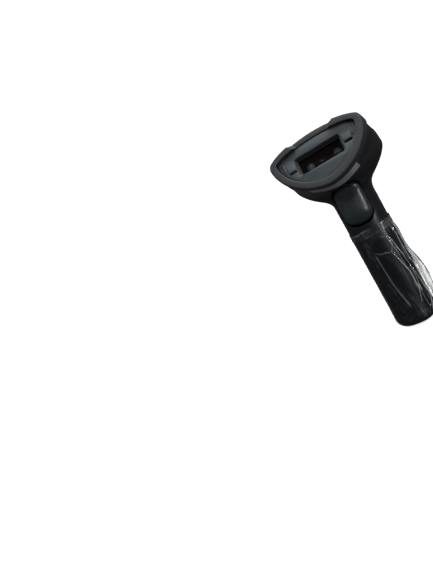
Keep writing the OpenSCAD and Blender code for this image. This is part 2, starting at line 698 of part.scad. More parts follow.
module sensor_board() color("#1d5c38") in_head(engine_back + 1.2 + seat, engine_v)
  linear_extrude(1.2) square([engine_w, engine_h], center = true);
module line_sensor() color("#26282b") in_head(engine_back + seat / 2, engine_v, lens_x)
  linear_extrude(1.8) square([25, 4], center = true);
module engine_screws() color("#a9adb2") for (sx = [-1, 1]) in_head(ear_s + 2, post_v, sx * post_x)
  difference() {
    union() {
      cylinder(r = 0.9, h = 6);
      translate([0, 0, -1.3]) cylinder(r = 1.9, h = 1.3);
    }
    translate([0, 0, -1.3]) cube([2.4, 0.5, 1.2], center = true);
  }

// A flat cable from the main board's upper edge to the back of the sensor board.
module ribbon_cable() {
  start = [board_y - 0.8, board_z1 - 0.1];
  end = head_yz(engine_back + 1.3 + 2 * seat + 0.2, engine_v);
  path = [start, start + [0, 8], end + head_back * 9, end];
  steps = 14;
  t = 0.3;
  x0 = ribbon_x;
  x1 = ribbon_x + ribbon_w;
  function mid(i) = bezier(path, i / steps);
  function side(i) =
    let (d = mid(min(steps, i + 1)) - mid(max(0, i - 1)), n = norm(d)) [-d[1], d[0]] / n * t / 2;
  points = [for (i = [0:steps]) let (m = mid(i), o = side(i)) each
    [[x0, m[0] + o[0], m[1] + o[1]], [x1, m[0] + o[0], m[1] + o[1]],
     [x1, m[0] - o[0], m[1] - o[1]], [x0, m[0] - o[0], m[1] - o[1]]]];
  last = steps * 4;
  color("#d9dde0") polyhedron(points = points, faces = concat(
    side_quads(steps + 1, 4, true),
    [[0, 2, 1], [0, 3, 2], [last, last + 1, last + 2], [last, last + 2, last + 3]]));
}

// ---- battery --------------------------------------------------------------
module battery() color("#2f6fb0") {
  translate([0, 0, cell_z0]) cylinder(r = cell_r, h = cell_len - 1.2);
  translate([0, 0, cell_z1 - 1.2]) cylinder(r = 3.4, h = 1.2);
}
module battery_pads() color("#3a3c3f") {
  depth = grip_d / 2 - wall - 0.6 - cell_r - 0.2;
  translate([0, cell_post_y, cell_z0 - pad_t - seat]) cylinder(r = 5.5, h = pad_t);
  for (side = [-1, 1]) translate([-4, side > 0 ? cell_r + 0.2 : -cell_r - 0.2 - depth, cell_z0 + 24])
    cube([7, depth, 3]);
}
lead_r = 0.65;
module battery_leads() color("#b3261e") {
  plug = [-8.2, board_y - 2, board_z0 + 0.95];
  for (i = [0, 1]) wire([
    [-2 + 3 * i, 2 * i - 1, cell_z1 + 0.3],
    [-2.2 + 2.6 * i, 1.4 * i - 1, cell_z1 + 2],
    [-4.4 + 2.4 * i, 0.4 * i - 1, cell_z1 + 4.5],
    [plug[0] + 2.8 * i, plug[1], plug[2] - 1.6],
    [plug[0] + 2.8 * i, plug[1], plug[2]]], lead_r, 8);
}

// ---- USB socket -----------------------------------------------------------
usb_board_z = [4, 17];
module usb_socket() color("#c3c7ca") translate([0, usb_y, 1.2]) difference() {
  linear_extrude(usb_len) rounded_rect(usb_w, usb_h, usb_h / 2 - 0.1);
  translate([0, 0, -1]) linear_extrude(usb_len) difference() {
    rounded_rect(usb_w - 0.7, usb_h - 0.7, (usb_h - 0.7) / 2 - 0.1);
    square([6.4, 0.7], center = true);
  }
}
module usb_board() color("#1d5c38") translate([-6.5, usb_board_y + eps, usb_board_z[0]])
  cube([13, 1.2, usb_board_z[1] - usb_board_z[0]]);
module usb_harness() color("#232426") {
  y0 = usb_board_y + 1.25 + harness_r;
  y1 = board_y + board_t + 1.9;
  top = board_z0 + 7;
  wire([[2.6, y0, 11], [3.2, y0 + 0.1, 15], [harness_x, harness_y, cell_z0 + 3], [harness_x, harness_y, cell_z0 + 30],
        [harness_x, harness_y, cell_z1 - 8], [harness_x + 0.2, 11, cell_z1 - 1], [harness_x + 0.5, y1 + 3, cell_z1 + 5],
        [harness_x + 0.6, y1 + 0.4, board_z0 + 1], [harness_x + 0.6, y1, top - 0.05]],
       harness_r, 8);
}

// ---- case screws ----------------------------------------------------------
module case_screws() color("#2a2b2d") for (sx = [-1, 1], z = case_screw_z)
  screw_y(sx * screw_x, screw_seat_y, z, 14);

// ---- transport film on the grip -------------------------------------------
film_gap = 0.35;
film_z0 = 3;
module grip_film() color("#e9eef2", 0.3) {
  sections = concat(
    [for (i = [2:cap_steps])
      let (a = 90 * i / cap_steps, z = cap_round * (1 - cos(a)), g = cap_round * (1 - sin(a)))
      [0, z, 0, grip_w / 2 - g, grip_d / 2 - g, grip_d / 2 - g, grip_power, grip_power]],
    [grip_section(film_z1 / 2), grip_section(film_z1)]);
  swept_tube(sections, sections, film_gap + film_t, film_gap);
}
tape_h = 6.4;
module film_tape() color("#f3f5f6", 0.3) {
  sections = [grip_section(film_z1 - tape_h), grip_section(film_z1 - 0.4)];
  swept_tube(sections, sections, film_gap + film_t + 0.25, film_gap + film_t + 0.05);
}

front_shell();
rear_shell();
bumper();
face_plate();
window_frame();
scan_window();
chin_label();
butt_cap();
trigger();
trigger_pin();
pin_bracket();
trigger_spring();
switch_body();
switch_plunger();
main_board();
board_chips();
radio_module();
buzzer();
board_connectors();
board_screws();
status_led();
status_lens();
engine_chassis();
lens_barrel();
lens_glass();
aimer_leds();
led_lenses();
sensor_board();
line_sensor();
engine_screws();
ribbon_cable();
battery();
battery_pads();
battery_leads();
usb_board();
usb_socket();
usb_harness();
case_screws();
grip_film();
film_tape();
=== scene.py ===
import math

import bmesh
import bpy
from mathutils import Matrix, Vector, noise


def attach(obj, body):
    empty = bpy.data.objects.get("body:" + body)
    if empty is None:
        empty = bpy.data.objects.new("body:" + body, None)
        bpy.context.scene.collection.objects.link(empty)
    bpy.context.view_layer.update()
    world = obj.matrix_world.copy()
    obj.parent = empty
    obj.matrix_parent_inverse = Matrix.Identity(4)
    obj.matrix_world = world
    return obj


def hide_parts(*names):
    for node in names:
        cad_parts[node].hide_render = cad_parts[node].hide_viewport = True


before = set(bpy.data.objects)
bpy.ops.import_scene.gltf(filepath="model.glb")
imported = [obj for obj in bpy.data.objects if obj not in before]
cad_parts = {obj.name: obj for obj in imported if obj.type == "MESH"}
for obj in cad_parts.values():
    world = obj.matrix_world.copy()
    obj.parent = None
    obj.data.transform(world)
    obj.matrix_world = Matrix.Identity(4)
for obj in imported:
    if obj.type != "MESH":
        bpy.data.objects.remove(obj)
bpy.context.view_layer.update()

# camera

view = {
    "eye": (59.35, -402.97, 138.42),  # mm
    "forward": (-0.4488, 0.8887, -0.0939),
    "up": (0.4121, 0.3062, 0.8581),
    "lens": 30.93,
}


def placeCamera():
    camera = bpy.data.objects.new("camera", bpy.data.cameras.new("camera"))
    bpy.context.collection.objects.link(camera)
    back = -Vector(view["forward"]).normalized()
    side = Vector(view["up"]).cross(back).normalized()
    up = back.cross(side)
    camera.matrix_world = Matrix.Translation(
        Vector(view["eye"]) * 0.001
    ) @ Matrix((side, up, back)).transposed().to_4x4()
    camera.data.lens = view["lens"]
    camera.data.sensor_width = 36
    camera.data.clip_start = 0.01
    bpy.context.scene.camera = camera


placeCamera()
bpy.context.scene.view_settings.view_transform = "Standard"
print("camera placed")


# finishes

def linearColor(hexText, alpha=1.0):
    values = [int(hexText[i:i + 2], 16) / 255 for i in (1, 3, 5)]
    return (*[v / 12.92 if v <= 0.04045 else ((v + 0.055) / 1.055) ** 2.4 for v in values], alpha)


def addNode(tree, kind, settings=None, links=None):
    node = tree.nodes.new(kind)
    for name, value in (settings or {}).items():
        if isinstance(name, int) or name in node.inputs:
            node.inputs[name].default_value = value
        else:
            setattr(node, name, value)
    for name, source in (links or {}).items():
        tree.links.new(source, node.inputs[name])
    return node


def makeFinish(name, look):
    material = bpy.data.materials.new(name)
    material.use_nodes = True
    tree = material.node_tree
    shader = tree.nodes["Principled BSDF"]
    where = addNode(tree, "ShaderNodeTexCoord").outputs["Object"]
    patches = addNode(
        tree, "ShaderNodeTexNoise", {"Scale": 1000 / look["patch"], "Detail": 4.0}, {"Vector": where}
    )
    ramp = addNode(tree, "ShaderNodeValToRGB", links={"Fac": patches.outputs["Fac"]})
    ramp.color_ramp.elements[0].position = 0.3
    ramp.color_ramp.elements[1].position = 0.7
    ramp.color_ramp.elements[0].color = linearColor(look["base"])
    ramp.color_ramp.elements[1].color = linearColor(look["second"])
    tree.links.new(ramp.outputs["Color"], shader.inputs["Base Color"])
    blotch = 5  # mm across the shinier and duller areas
    haze = addNode(tree, "ShaderNodeTexNoise", {"Scale": 1000 / blotch, "Detail": 5.0}, {"Vector": where})
    low, high = look["rough"]
    spread = addNode(
        tree, "ShaderNodeMapRange", {"From Min": 0.3, "From Max": 0.7, "To Min": low, "To Max": high},
        {"Value": haze.outputs["Fac"]}
    )
    tree.links.new(spread.outputs["Result"], shader.inputs["Roughness"])
    if look.get("grain"):
        grain = addNode(
            tree, "ShaderNodeTexNoise", {"Scale": 1000 / look["grain"], "Detail": 2.0}, {"Vector": where}
        )
        bump = addNode(
            tree, "ShaderNodeBump",
            {"Strength": look.get("bump", 0.25), "Distance": look.get("depth", 0.05) * 0.001},
            {"Height": grain.outputs["Fac"]}
        )
        tree.links.new(bump.outputs["Normal"], shader.inputs["Normal"])
    for socket, value in look.get("shader", {}).items():
        shader.inputs[socket].default_value = value
    return material


finishes = {  # mm; real moulded and etched grain is near 0.1 mm, drawn coarser here so that it shows
    # ABS moulded in a spark-eroded tool: deep black with a soft broad sheen
    "mouldedBlackAbs": {
        "base": "#0c0d11", "second": "#121318", "patch": 22, "rough": (0.38, 0.48), "grain": 0.9, "depth": 0.03,
        "bump": 0.25, "shader": {"IOR": 1.53, "Specular IOR Level": 0.32}
    },
    # thermoplastic rubber, matte, a little greener and greyer than the housing
    "mouldedGreyRubber": {
        "base": "#1d2124", "second": "#25292c", "patch": 12, "rough": (0.56, 0.68), "grain": 0.8, "depth": 0.06,
        "bump": 0.4, "shader": {"IOR": 1.5, "Specular IOR Level": 0.45}
    },
    # grey ABS face, matte
    "mouldedGreyAbs": {
        "base": "#32393c", "second": "#3c4447", "patch": 16, "rough": (0.52, 0.62), "grain": 0.8, "depth": 0.04,
        "bump": 0.3, "shader": {"IOR": 1.53, "Specular IOR Level": 0.45}
    },
    # black acetal gasket, smooth from the tool
    "mouldedBlackAcetal": {
        "base": "#0c0c0e", "second": "#131315", "patch": 8, "rough": (0.28, 0.38), "grain": 0.7, "depth": 0.02,
        "bump": 0.2, "shader": {"IOR": 1.48}
    },
    # dark red filter acrylic, polished
    "polishedFilterAcrylic": {
        "base": "#0b0506", "second": "#10070a", "patch": 10, "rough": (0.03, 0.05),
        "shader": {"IOR": 1.49, "Alpha": 0.38}
    },
    # satin ABS of the trigger, from a finer tool than the housing
    "mouldedSatinAbs": {
        "base": "#1f2527", "second": "#272e30", "patch": 16, "rough": (0.34, 0.44), "grain": 0.8, "depth": 0.03,
        "bump": 0.35, "shader": {"IOR": 1.53, "Specular IOR Level": 0.55}
    },
    # silver polyester label stock: pale, with a faint mottled sheen
    "silverPolyesterLabel": {
        "base": "#8b8e9a", "second": "#a3a6b1", "patch": 9, "rough": (0.3, 0.42), "grain": 0.6, "depth": 0.02,
        "bump": 0.2, "shader": {"Metallic": 0.15, "IOR": 1.5}
    },
    # drawn and ground spring steel: bright, with narrow clear highlights
    "brightSpringSteel": {
        "base": "#a9acb0", "second": "#babdc1", "patch": 4, "rough": (0.2, 0.3), "grain": 0.4, "depth": 0.01,
        "bump": 0.2, "shader": {"Metallic": 1.0}
    },
    # black-oxide screws: dark metal with a dull shine
    "blackenedSteel": {
        "base": "#1b1c1f", "second": "#26272a", "patch": 3, "rough": (0.32, 0.42), "grain": 0.4, "depth": 0.01,
        "bump": 0.2, "shader": {"Metallic": 0.9}
    },
    # glass-epoxy board under green solder mask: glossy, with a faint texture
    "greenCircuitBoard": {
        "base": "#0d4023", "second": "#14532e", "patch": 3, "rough": (0.25, 0.35), "grain": 0.7, "depth": 0.03,
        "bump": 0.4, "shader": {"IOR": 1.55}
    },
    # black moulding compound: dull, slightly sandy
    "mouldedBlackEpoxy": {
        "base": "#111214", "second": "#1a1b1d", "patch": 4, "rough": (0.45, 0.6), "grain": 0.4, "depth": 0.02,
        "bump": 0.4, "shader": {"IOR": 1.55}
    },
    # natural nylon connectors: warm off-white, soft shine
    "creamNylon": {
        "base": "#d2cab0", "second": "#dfd8c2", "patch": 5, "rough": (0.4, 0.5), "grain": 0.5, "depth": 0.02,
        "bump": 0.2, "shader": {"IOR": 1.53}
    },
    # tin-plated steel shields: pale, slightly cloudy metal
    "tinnedSteel": {
        "base": "#b5b8ba", "second": "#c6c8ca", "patch": 3, "rough": (0.25, 0.4), "grain": 0.5, "depth": 0.01,
        "bump": 0.2, "shader": {"Metallic": 1.0}
    },
    # red nylon plunger: clean colour, soft shine
    "redNylon": {
        "base": "#a3241c", "second": "#b52e25", "patch": 3, "rough": (0.35, 0.45), "grain": 0.4, "depth": 0.02,
        "bump": 0.2, "shader": {"IOR": 1.53}
    },
    # glass-filled polycarbonate of the engine: dull black that kills stray light
    "glassFilledPolycarbonate": {
        "base": "#0b0c0d", "second": "#121315", "patch": 5, "rough": (0.45, 0.6), "grain": 0.5, "depth": 0.03,
        "bump": 0.3, "shader": {"IOR": 1.53}
    },
    # coated glass: mirror-smooth with a purple and amber tint
    "coatedLensGlass": {
        "base": "#5a3a4a", "second": "#8a5a3c", "patch": 3, "rough": (0.02, 0.05),
        "shader": {"IOR": 1.62, "Coat Weight": 1.0, "Coat Roughness": 0.02}
    },
    # cast epoxy of the lights: pale amber, wet-looking
    "clearLedResin": {
        "base": "#d8cfa8", "second": "#e8e2c8", "patch": 1.5, "rough": (0.08, 0.16),
        "shader": {"IOR": 1.5, "Coat Weight": 0.5, "Coat Roughness": 0.05}
    },
    # frosted light-guide acrylic: milky and half clear
    "frostedAcrylic": {
        "base": "#cfd6d8", "second": "#dde3e5", "patch": 3, "rough": (0.25, 0.35), "grain": 0.4, "depth": 0.01,
        "bump": 0.2, "shader": {"IOR": 1.49, "Transmission Weight": 0.5}
    },
    # blue PVC shrink sleeve of the cell: taut, shiny, faintly wavy
    "blueShrinkSleeve": {
        "base": "#1d4f93", "second": "#24589f", "patch": 14, "rough": (0.2, 0.3), "grain": 3.0, "depth": 0.05,
        "bump": 0.3, "shader": {"IOR": 1.52}
    },
    # closed-cell foam: no shine, fine open texture
    "blackFoam": {
        "base": "#151516", "second": "#202022", "patch": 1.5, "rough": (0.85, 0.95), "grain": 0.7, "depth": 0.2,
        "bump": 0.8, "shader": {"IOR": 1.4}
    },
    # PVC wire covering: even black, mild shine
    "blackPvc": {
        "base": "#161718", "second": "#1e1f20", "patch": 4, "rough": (0.4, 0.5), "grain": 0.6, "depth": 0.02,
        "bump": 0.2, "shader": {"IOR": 1.53}
    },
    # polyester flat cable: smooth white
    "whiteFlatCable": {
        "base": "#c9cdd0", "second": "#d9dcde", "patch": 3, "rough": (0.3, 0.4), "grain": 0.5, "depth": 0.01,
        "bump": 0.2, "shader": {"IOR": 1.5}
    },
}
finish = {name: makeFinish(name, look) for name, look in finishes.items()}


def makeFilm(name, look):
    # thin clear film: it shows by its shine, by a painted highlight along creases and painted sheen streaks, and it
    # goes more opaque edge on
    material = bpy.data.materials.new(name)
    material.use_nodes = True
    tree = material.node_tree
    shader = tree.nodes["Principled BSDF"]
    where = addNode(tree, "ShaderNodeTexCoord").outputs["Object"]
    along = addNode(tree, "ShaderNodeMapping", {"Scale": look["along"]}, {"Vector": where}).outputs["Vector"]
    streaks = addNode(
        tree, "ShaderNodeTexNoise", {"Scale": 1000 / look["streak"], "Detail": 3.0, "Roughness": 0.5},
        {"Vector": along}
    )
    crease = addNode(tree, "ShaderNodeAttribute", {"attribute_name": "crease"})
    # painted sheen: pale streaks from the noise, their strength set by haze
    paintedSheen = addNode(
        tree, "ShaderNodeMapRange", {"From Min": 0.55, "From Max": 0.85, "To Min": 0.0, "To Max": look["haze"]},
        {"Value": streaks.outputs["Fac"]}
    )
    broken = addNode(
        tree, "ShaderNodeMapRange", {"From Min": 0.3, "From Max": 0.7, "To Min": 0.45, "To Max": 1.0},
        {"Value": streaks.outputs["Fac"]}
    )
    # painted highlight along the creases, read from the crease attribute and broken up along its length
    paintedCreaseHighlight = addNode(
        tree, "ShaderNodeMath", {"operation": "MULTIPLY", "use_clamp": True},
        {0: crease.outputs["Fac"], 1: broken.outputs["Result"]}
    )
    white = addNode(
        tree, "ShaderNodeMath", {"operation": "ADD", "use_clamp": True},
        {0: paintedSheen.outputs["Result"], 1: paintedCreaseHighlight.outputs["Value"]}
    )
    # white is the painted light: the ramp runs from the film's own dark colour to the painted highlight colour
    ramp = addNode(tree, "ShaderNodeValToRGB", links={"Fac": white.outputs["Value"]})
    ramp.color_ramp.elements[0].color = linearColor(look["base"])
    ramp.color_ramp.elements[1].color = linearColor(look["second"])
    tree.links.new(ramp.outputs["Color"], shader.inputs["Base Color"])
    grazing = addNode(tree, "ShaderNodeLayerWeight", {"Blend": 0.3})
    clear = addNode(
        tree, "ShaderNodeMapRange",
        {"From Min": 0.0, "From Max": 1.0, "To Min": look["clear"], "To Max": look["edge"]},
        {"Value": grazing.outputs["Facing"]}
    )
    shown = addNode(
        tree, "ShaderNodeMath", {"operation": "MULTIPLY", 1: look["whiteAlpha"]}, {0: white.outputs["Value"]}
    )
    both = addNode(
        tree, "ShaderNodeMath", {"operation": "ADD", "use_clamp": True},
        {0: clear.outputs["Result"], 1: shown.outputs["Value"]}
    )
    tree.links.new(both.outputs["Value"], shader.inputs["Alpha"])
    shader.inputs["Roughness"].default_value = look["rough"]
    shader.inputs["IOR"].default_value = 1.51
    shader.inputs["Specular IOR Level"].default_value = 0.7
    return material


# in both films the second colour is the painted highlight and painted sheen colour, and haze sets how strongly the
# painted sheen streaks show
finish["clearFilm"] = makeFilm(
    "clearPolyethyleneFilm",
    {
        "base": "#101217", "second": "#b4b8bc", "streak": 4, "along": (1, 1, 0.16), "haze": 0.15, "clear": 0.14,
        "edge": 0.8, "whiteAlpha": 0.85, "rough": 0.13
    }
)
finish["bandedFilm"] = makeFilm(
    "doubledPolyethyleneFilm",
    {
        "base": "#2b2e31", "second": "#c4c8cb", "streak": 4, "along": (0.3, 0.3, 3), "haze": 0.75,
        "clear": 0.35, "edge": 0.75, "whiteAlpha": 0.55, "rough": 0.2
    }
)
print("finishes made")


# mesh helpers

def skin(bm, rings, closed=True, around=False):
    # one sheet of faces through rings of points, merged where its ends meet
    rows = rings + (rings[:1] if around else [])
    columns = len(rings[0]) if closed else len(rings[0]) - 1
    for vert in bmesh.ops.create_grid(bm, x_segments=columns, y_segments=len(rows) - 1, size=0.5)["verts"]:
        column, row = round((vert.co.x + 0.5) * columns), round((vert.co.y + 0.5) * (len(rows) - 1))
        vert.co = rows[row][column % len(rings[0])]
    bmesh.ops.remove_doubles(bm, verts=bm.verts, dist=1e-4)


def closeEnds(bm, wanted=lambda edge: True):
    bmesh.ops.holes_fill(bm, edges=[edge for edge in bm.edges if edge.is_boundary and wanted(edge)], sides=0)


def makePiece(bm, name, finishName, body="housing", smooth=40, outward=True):
    bmesh.ops.remove_doubles(bm, verts=bm.verts, dist=1e-4)
    if outward:
        bmesh.ops.recalc_face_normals(bm, faces=bm.faces)
    bmesh.ops.scale(bm, vec=(0.001, 0.001, 0.001), verts=bm.verts)  # modelled in mm
    mesh = bpy.data.meshes.new(name)
    bm.to_mesh(mesh)
    bm.free()
    piece = bpy.data.objects.new(name, mesh)
    bpy.context.collection.objects.link(piece)
    mesh.materials.append(finish[finishName])
    smoothShade(piece, smooth)
    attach(piece, body)
    return piece


def smoothShade(piece, angle):
    piece.data.shade_smooth()
    piece.data.set_sharp_from_angle(angle=math.radians(angle))


def settle(piece, angle=40):
    mesh = bpy.data.meshes.new_from_object(piece.evaluated_get(bpy.context.evaluated_depsgraph_get()))
    piece.modifiers.clear()
    piece.data = mesh
    smoothShade(piece, angle)


def thicken(piece, wall):
    solid = piece.modifiers.new("wall", "SOLIDIFY")
    solid.thickness = wall * 0.001
    solid.offset = -1
    settle(piece)


def cutWith(piece, cutters, operation="DIFFERENCE"):
    for cutter in cutters:
        cut = piece.modifiers.new("cut", "BOOLEAN")
        cut.operation = operation
        cut.solver = "EXACT"
        cut.object = cutter
    settle(piece)
    for cutter in cutters:
        bpy.data.objects.remove(cutter)


def makeCutter(bm):
    bmesh.ops.recalc_face_normals(bm, faces=bm.faces)
    bmesh.ops.scale(bm, vec=(0.001, 0.001, 0.001), verts=bm.verts)
    mesh = bpy.data.meshes.new("cutter")
    bm.to_mesh(mesh)
    bm.free()
    cutter = bpy.data.objects.new("cutter", mesh)
    bpy.context.collection.objects.link(cutter)
    return cutter


def roundEdges(piece, width, segments):
    bevel = piece.modifiers.new("edges", "BEVEL")
    bevel.width = width * 0.001
    bevel.segments = segments
    bevel.limit_method = "ANGLE"
    bevel.angle_limit = math.radians(38)
    settle(piece, 50)


def mix(a, b, t):
    return a + (b - a) * t


def smoothStep(t):
    t = min(1.0, max(0.0, t))
    return t * t * (3 - 2 * t)


# the body's sections

bodySize = {  # mm and degrees
    "gripWidth": 32.2, "gripDepth": 40, "gripTop": 108, "capTop": 10, "capRound": 6,
    "faceZ": 158, "faceReach": 47, "tilt": 16, "faceWidth": 68.4, "faceDrop": 28.8, "faceRise": 8.8,
    "swell": 2.8, "sink": 5,
    "straight": 30, "neckBulge": 4, "neckSpread": 0.62, "gripPower": 2.5, "rimPower": 1.8, "chinPower": 1.6,
    "headPower": 1.85,
    "wall": 2.2, "shellFront": 5.4, "around": 144,
}
tilt = math.radians(bodySize["tilt"])
headBack = Vector((0, math.cos(tilt), -math.sin(tilt)))
headUp = Vector((0, math.sin(tilt), math.cos(tilt)))


def headPoint(x, s, v):
    return Vector((x, -bodySize["faceReach"], bodySize["faceZ"])) + headBack * s + headUp * v


def headSection(s):
    b = bodySize
    t = min(1.0, max(0.0, s / b["straight"]))
    sink = b["sink"] * smoothStep(t)
    p = headPoint(0, s, -sink)
    return (
        p.y, p.z, 90 - b["tilt"], b["faceWidth"] / 2 + b["swell"] * t, b["faceDrop"] + 1.2 * t - sink,
        b["faceRise"] + 1.2 * t + sink, mix(b["rimPower"], b["chinPower"], t), b["headPower"]
    )


def gripSection(z, shrink=0):
    b = bodySize
    return (
        0, z, 0, b["gripWidth"] / 2 - shrink, b["gripDepth"] / 2 - shrink, b["gripDepth"] / 2 - shrink,
        b["gripPower"], b["gripPower"]
    )


def neckSection(t):
    b = bodySize
    low, high = gripSection(b["gripTop"]), headSection(b["straight"])
    points = [
        Vector((low[0], low[1])), Vector((low[0] + 8, low[1] + 21)),
        Vector((high[0], high[1])) + Vector((headBack.y, headBack.z)) * 18, Vector((high[0], high[1]))
    ]
    u = 1 - t
    c = points[0] * u ** 3 + points[1] * 3 * u * u * t + points[2] * 3 * u * t * t + points[3] * t ** 3
    return (
        c.x, c.y, (90 - b["tilt"]) * t,
        mix(low[3], high[3], smoothStep(t / b["neckSpread"])),
        mix(low[4], high[4], t) + b["neckBulge"] * math.sin(math.pi * t),
        mix(low[5], high[5], smoothStep((t - 0.25) / 0.6)),
        mix(b["gripPower"], b["chinPower"], smoothStep((t - 0.12) / 0.5)),
        mix(b["gripPower"], b["headPower"], smoothStep(t * 2)),
    )


def onSection(section, grow, angle):
    y, z, turn, width, inner, outer, innerPower, outerPower = section
    a, c, s = math.radians(turn), math.cos(math.radians(angle)), math.sin(math.radians(angle))
    power = innerPower if s < 0 else outerPower
    x = (width + grow) * math.copysign(abs(c) ** (2 / power), c)
    v = ((inner if s < 0 else outer) + grow) * math.copysign(abs(s) ** (2 / power), s)
    return Vector((x, y + v * math.cos(a), z + v * math.sin(a)))


def bodySections(top):
    b = bodySize
    grips = [gripSection(z) for z in (b["capTop"], b["capTop"] + 0.6, 30, 55, 80, 88, 96, 103)]
    necks = [neckSection(i / 44) for i in range(45)]
    heads = [headSection(mix(b["straight"], top, i / 14)) for i in range(1, 15)]
    return grips + necks + heads


def makeShell(name, keep, *nodes):
    # half of the skin, from one parting line round to the other, with its wall turned in
    bm = bmesh.new()
    n = bodySize["around"]
    half = range(n // 2, n + 1) if keep == "front" else range(n // 2 + 1)
    skin(
        bm,
        [
            [onSection(section, 0, 360 * k / n) for k in half]
            for section in bodySections(bodySize["shellFront"])
        ],
        closed=False
    )
    shell = makePiece(bm, name, "mouldedBlackAbs")
    thicken(shell, bodySize["wall"])
    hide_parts(*nodes)
    return shell


def rodAlongY(radius, y0, y1, x, z, segments=40):
    bm = bmesh.new()
    place = Matrix.Translation((x, (y0 + y1) / 2, z)) @ Matrix.Rotation(math.pi / 2, 4, "X")
    bmesh.ops.create_cone(
        bm, cap_ends=True, segments=segments, radius1=radius, radius2=radius, depth=abs(y1 - y0), matrix=place
    )
    return bm


# trigger

triggerSize = {  # mm; round and roundPower shape the crown from its edge to its middle
    "width": 21.6, "low": 90, "top": 122, "lowRadius": 8.6, "topRadius": 5, "gap": 0.5, "swing": 0.7,
    "back": -16.2, "proud": 4.6, "proudTop": 1.6, "pinY": -13, "pinZ": 116, "pinHole": 1.06, "switchZ": 110,
    "middle": 104.5, "lugX": 7.7, "lugY": -15, "lug": (2.2, 5, 4.6), "boss": 2.3, "finger": 1.8,
    "fingerTo": -4.6,
    "pocketZ": 101, "pocket": 3.3, "round": 0.48, "roundPower": 2.5,
}


def triggerOutline(grow, drop=0, corner=14):
    # clockwise corner arcs: low right, top right, top left, low left
    t = triggerSize
    w = t["width"] / 2 + grow
    low, top = t["low"] - grow - drop + t["lowRadius"], t["top"] + grow - t["topRadius"]
    corners = [
        (w - t["lowRadius"], low, t["lowRadius"], -90), (w - t["topRadius"], top, t["topRadius"], 0),
        (t["topRadius"] - w, top, t["topRadius"], 90), (t["lowRadius"] - w, low, t["lowRadius"], 180)
    ]
    points = []
    for x, z, radius, start in corners:
        for i in range(corner + 1):
            a = math.radians(start + 90 * i / corner)
            points.append((x + radius * math.cos(a), z + radius * math.sin(a)))
    return points


def neckFront(z):
    # y of the neck's skin in front of the middle
    fronts = [onSection(neckSection(i / 40), 0, 270) for i in range(41)]
    if z <= fronts[0].z:
        return fronts[0].y
    for low, high in zip(fronts, fronts[1:]):
        if low.z <= z <= high.z:
            return mix(low.y, high.y, (z - low.z) / (high.z - low.z))
    return fronts[-1].y


def makeTrigger():
    t = triggerSize
    fronts = {z: neckFront(z) for z in range(80, 130)}
    bm = bmesh.new()
    rings = [[(x, t["back"], z) for x, z in triggerOutline(0)]]
    for r in (1, 0.985, 0.955, 0.91, 0.85, 0.77, 0.67, 0.55, 0.41, 0.26, 0.12):
        points = []
        for x, z in triggerOutline(0):
            px, pz = x * r, t["middle"] + (z - t["middle"]) * r
            front = mix(fronts[int(pz)], fronts[int(pz) + 1], pz - int(pz))
            lift = t["back"] - 0.5 - front + mix(t["proud"], t["proudTop"], smoothStep((pz - 96) / 22))
            points.append((px, t["back"] - 0.5 - lift * (1 - r ** t["roundPower"]) ** t["round"], pz))
        rings.append(points)
    skin(bm, rings)
    closeEnds(bm)
    piece = makePiece(bm, "triggerShell", "mouldedSatinAbs", "trigger")
    lugs = []
    for side in (-1, 1):
        bm = bmesh.new()
        bmesh.ops.create_cube(
            bm, size=1,
            matrix=Matrix.Translation(
                (side * t["lugX"], t["lugY"], t["pinZ"])
            ) @ Matrix.Diagonal((*t["lug"], 1))
        )
        lugs.append(makeCutter(bm))
        bm = bmesh.new()
        bmesh.ops.create_cone(
            bm, cap_ends=True, segments=40, radius1=t["boss"], radius2=t["boss"], depth=t["lug"][0],
            matrix=Matrix.Translation(
                (side * t["lugX"], t["pinY"], t["pinZ"])
            ) @ Matrix.Rotation(math.pi / 2, 4, "Y")
        )
        lugs.append(makeCutter(bm))
    lugs.append(makeCutter(rodAlongY(t["finger"], -17, t["fingerTo"], 0, t["switchZ"])))
    cutWith(piece, lugs, "UNION")
    bm = bmesh.new()
    bmesh.ops.create_cone(
        bm, cap_ends=True, segments=40, radius1=t["pinHole"], radius2=t["pinHole"], depth=40,
        matrix=Matrix.Translation((0, t["pinY"], t["pinZ"])) @ Matrix.Rotation(math.pi / 2, 4, "Y")
    )
    cutWith(piece, [makeCutter(bm), makeCutter(rodAlongY(t["pocket"], -18, -10, 0, t["pocketZ"]))])
    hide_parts("trigger")


def triggerCutter():
    bm = bmesh.new()
    outline = triggerOutline(triggerSize["gap"], triggerSize["swing"])
    skin(bm, [[(x, y, z) for x, z in outline] for y in (-36, -4)])
    closeEnds(bm)
    return makeCutter(bm)


screwSize = {"x": 10.8, "z": (14.4, 88), "head": 2.35, "seat": 7, "sleeve": 3.4, "hole": 1.3, "sleeveEnd": 5.4}
statusSize = {"y": 0.4, "z": 134, "radius": 2.75}


def gripBackY(x):
    b = bodySize
    return b["gripDepth"] / 2 * (1 - (abs(x) / (b["gripWidth"] / 2)) ** b["gripPower"]) ** (1 / b["gripPower"])


def makeScrewTubes():
    # the tubes that the case screws sit in, ending just inside the back's skin
    bm = bmesh.new()
    for side in (-1, 1):
        for z in screwSize["z"]:
            rings = []
            for radius, base in (
                (screwSize["head"], None), (screwSize["head"], screwSize["seat"] - 0.1),
                (screwSize["hole"], screwSize["seat"] - 0.1), (screwSize["hole"], screwSize["sleeveEnd"]),
                (screwSize["sleeve"], screwSize["sleeveEnd"]), (screwSize["sleeve"], None)
            ):
                points = []
                for k in range(40):
                    a = 2 * math.pi * k / 40
                    x = side * screwSize["x"] + radius * math.cos(a)
                    points.append((x, gripBackY(x) - 0.5 if base is None else base, z + radius * math.sin(a)))
                rings.append(points)
            skin(bm, rings, around=True)
    makePiece(bm, "screwSleeves", "mouldedBlackAbs")


